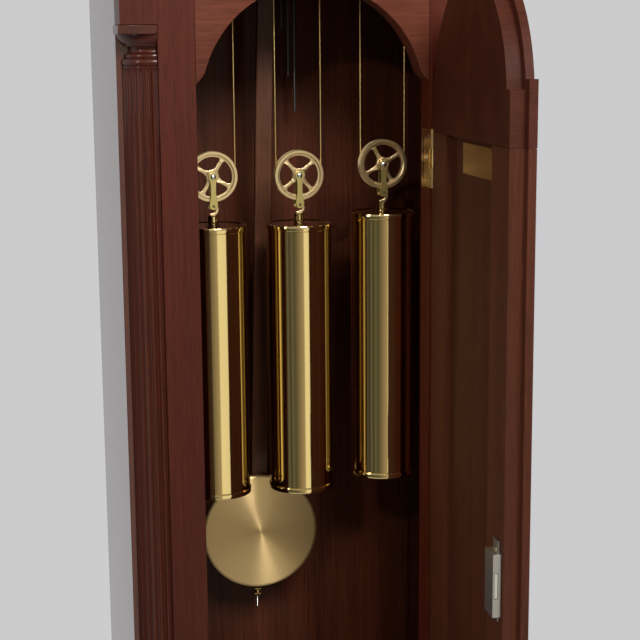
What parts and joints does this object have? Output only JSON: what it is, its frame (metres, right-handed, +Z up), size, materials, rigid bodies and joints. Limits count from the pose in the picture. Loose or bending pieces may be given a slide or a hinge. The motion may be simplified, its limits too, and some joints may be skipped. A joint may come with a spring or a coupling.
{
  "type": "longcase clock",
  "caption": "Longcase clock: mahogany case with an arched trunk door standing open, brass cylinder weights on pulleys, a disc pendulum, chime rods and an arched dial.",
  "frame": {"origin": "on the floor, at the middle of the plinth's underside", "axes": "+X to the right and -Y to the front, as seen by someone facing the dial; +Z up"},
  "size_m": [0.46, 0.4546, 2.1616],
  "materials": {
    "mahogany": "gloss lacquered mahogany",
    "red_mahogany": "gloss lacquered mahogany, redder",
    "dark_wood": "satin dark wood",
    "brass": "polished lacquered brass",
    "satin_brass": "satin brass",
    "steel": "bright steel",
    "dark_steel": "blued steel",
    "silvered": "silvered dial",
    "glass": "clear glass"
  },
  "bodies": {
    "case": {"plinth": "mahogany", "base_carcass": "mahogany", "base_panel": "red_mahogany", "back_board": "dark_wood", "waist_moulding": "mahogany", "trunk_side_left": "mahogany", "trunk_side_right": "mahogany", "front_stile_left": "mahogany", "front_stile_right": "mahogany", "arch_rail": "red_mahogany", "bottom_rail": "red_mahogany", "quarter_column_left": "mahogany", "quarter_column_right": "mahogany", "seatboard": "dark_wood", "hood_moulding": "mahogany", "hood_shell": "mahogany", "hood_front": "mahogany", "cornice": "mahogany", "pediment": "red_mahogany", "finial": "brass", "hinge_upper_frame_leaf": "brass", "hinge_lower_frame_leaf": "brass", "movement_plates": "brass", "dial_plate": "silvered", "chime_block": "dark_steel", "cable_left": "brass", "cable_middle": "brass", "cable_right": "brass"},
    "trunk_door": {"door_head": "red_mahogany", "door_bottom_rail": "red_mahogany", "door_stile_free": "mahogany", "door_stile_hinge": "mahogany", "door_panel": "dark_wood", "door_plate": "brass", "lock_case": "steel", "hinge_upper_door_leaf": "brass", "hinge_lower_door_leaf": "brass"},
    "bolt": {"lock_bolt": "steel"},
    "plug": {"lock_plug": "brass"},
    "hood_door": {"hood_door_frame": "red_mahogany", "hood_door_glass": "glass"},
    "minute": {"minute_hand": "dark_steel"},
    "hour": {"hour_hand": "dark_steel"},
    "pendulum": {"pendulum_stick": "red_mahogany", "pendulum_bob": "satin_brass"},
    "nut": {"rating_nut": "brass"},
    "crutch_arm": {"crutch": "steel"},
    "barrel_left_train": {"barrel_left": "brass"},
    "weight_left_hanging": {"weight_left": "brass", "stirrup_left": "satin_brass"},
    "pulley_left_wheel": {"pulley_left": "satin_brass"},
    "barrel_middle_train": {"barrel_middle": "brass"},
    "weight_middle_hanging": {"weight_middle": "brass", "stirrup_middle": "satin_brass"},
    "pulley_middle_wheel": {"pulley_middle": "satin_brass"},
    "barrel_right_train": {"barrel_right": "brass"},
    "weight_right_hanging": {"weight_right": "brass", "stirrup_right": "satin_brass"},
    "pulley_right_wheel": {"pulley_right": "satin_brass"}
  },
  "joints": [
    {"name": "trunk_door_hinge", "type": "hinge", "parent": "case", "child": "trunk_door", "pos_m": [0.1094, -0.0888, 0.91], "axis": [0, 0, 1], "range_deg": [-86.5, 8.5]},
    {"name": "bolt_slide", "type": "slide", "parent": "trunk_door", "child": "bolt", "axis": [-0.061, -0.9981, 0], "range_m": [0, 0.006]},
    {"name": "plug_turn", "type": "hinge", "parent": "trunk_door", "child": "plug", "pos_m": [0.09694, -0.29252, 0.865], "axis": [-0.9981, 0.061, 0], "range_deg": [0, 90]},
    {"name": "hood_door_hinge", "type": "hinge", "parent": "case", "child": "hood_door", "pos_m": [0.1605, -0.1235, 1.7], "axis": [0, 0, 1], "range_deg": [0, 100]},
    {"name": "minute_turn", "type": "hinge", "parent": "case", "child": "minute", "pos_m": [0, -0.1, 1.683], "axis": [0, 1, 0], "continuous": true},
    {"name": "hour_turn", "type": "hinge", "parent": "case", "child": "hour", "pos_m": [0, -0.1, 1.683], "axis": [0, 1, 0], "continuous": true},
    {"name": "pendulum_swing", "type": "hinge", "parent": "case", "child": "pendulum", "pos_m": [0, 0.0563, 1.763], "axis": [0, 1, 0], "range_deg": [-3.6, 0.4]},
    {"name": "crutch_swing", "type": "hinge", "parent": "case", "child": "crutch_arm", "pos_m": [0, 0.0563, 1.763], "axis": [0, 1, 0], "range_deg": [-3.6, 0.4]},
    {"name": "nut_turn", "type": "hinge", "parent": "pendulum", "child": "nut", "pos_m": [-0.02852, 0.0563, 0.7419], "axis": [0.0279, 0, 0.9996], "continuous": true},
    {"name": "weight_left_slide", "type": "slide", "parent": "case", "child": "weight_left_hanging", "axis": [0, 0, 1], "range_m": [-0.4, 0.33], "deforming": ["cable_left"]},
    {"name": "pulley_left_spin", "type": "hinge", "parent": "weight_left_hanging", "child": "pulley_left_wheel", "pos_m": [-0.0814, -0.0215, 1.176], "axis": [0, 1, 0], "range_deg": [-1100, 900]},
    {"name": "barrel_left_spin", "type": "hinge", "parent": "case", "child": "barrel_left_train", "pos_m": [-0.0814, -0.0215, 1.655], "axis": [0, 1, 0], "range_deg": [-2200, 1800]},
    {"name": "weight_middle_slide", "type": "slide", "parent": "case", "child": "weight_middle_hanging", "axis": [0, 0, 1], "range_m": [-0.4, 0.33], "deforming": ["cable_middle"]},
    {"name": "pulley_middle_spin", "type": "hinge", "parent": "weight_middle_hanging", "child": "pulley_middle_wheel", "pos_m": [0, -0.0215, 1.175], "axis": [0, 1, 0], "range_deg": [-1100, 900]},
    {"name": "barrel_middle_spin", "type": "hinge", "parent": "case", "child": "barrel_middle_train", "pos_m": [0, -0.0215, 1.655], "axis": [0, 1, 0], "range_deg": [-2200, 1800]},
    {"name": "weight_right_slide", "type": "slide", "parent": "case", "child": "weight_right_hanging", "axis": [0, 0, 1], "range_m": [-0.4, 0.33], "deforming": ["cable_right"]},
    {"name": "pulley_right_spin", "type": "hinge", "parent": "weight_right_hanging", "child": "pulley_right_wheel", "pos_m": [0.0814, -0.0215, 1.183], "axis": [0, 1, 0], "range_deg": [-1100, 900]},
    {"name": "barrel_right_spin", "type": "hinge", "parent": "case", "child": "barrel_right_train", "pos_m": [0.0814, -0.0215, 1.655], "axis": [0, 1, 0], "range_deg": [-2200, 1800]}
  ],
  "couplings": [
    {"joint": "hour_turn", "follows": "minute_turn", "ratio": 0.083333},
    {"joint": "crutch_swing", "follows": "pendulum_swing", "ratio": 1},
    {"joint": "bolt_slide", "follows": "plug_turn", "m_per_rad": 0.00382},
    {"joint": "pulley_left_spin", "follows": "weight_left_slide", "rad_per_m": 46.512},
    {"joint": "barrel_left_spin", "follows": "weight_left_slide", "rad_per_m": 93.023},
    {"joint": "pulley_middle_spin", "follows": "weight_middle_slide", "rad_per_m": 46.512},
    {"joint": "barrel_middle_spin", "follows": "weight_middle_slide", "rad_per_m": 93.023},
    {"joint": "pulley_right_spin", "follows": "weight_right_slide", "rad_per_m": 46.512},
    {"joint": "barrel_right_spin", "follows": "weight_right_slide", "rad_per_m": 93.023}
  ]
}
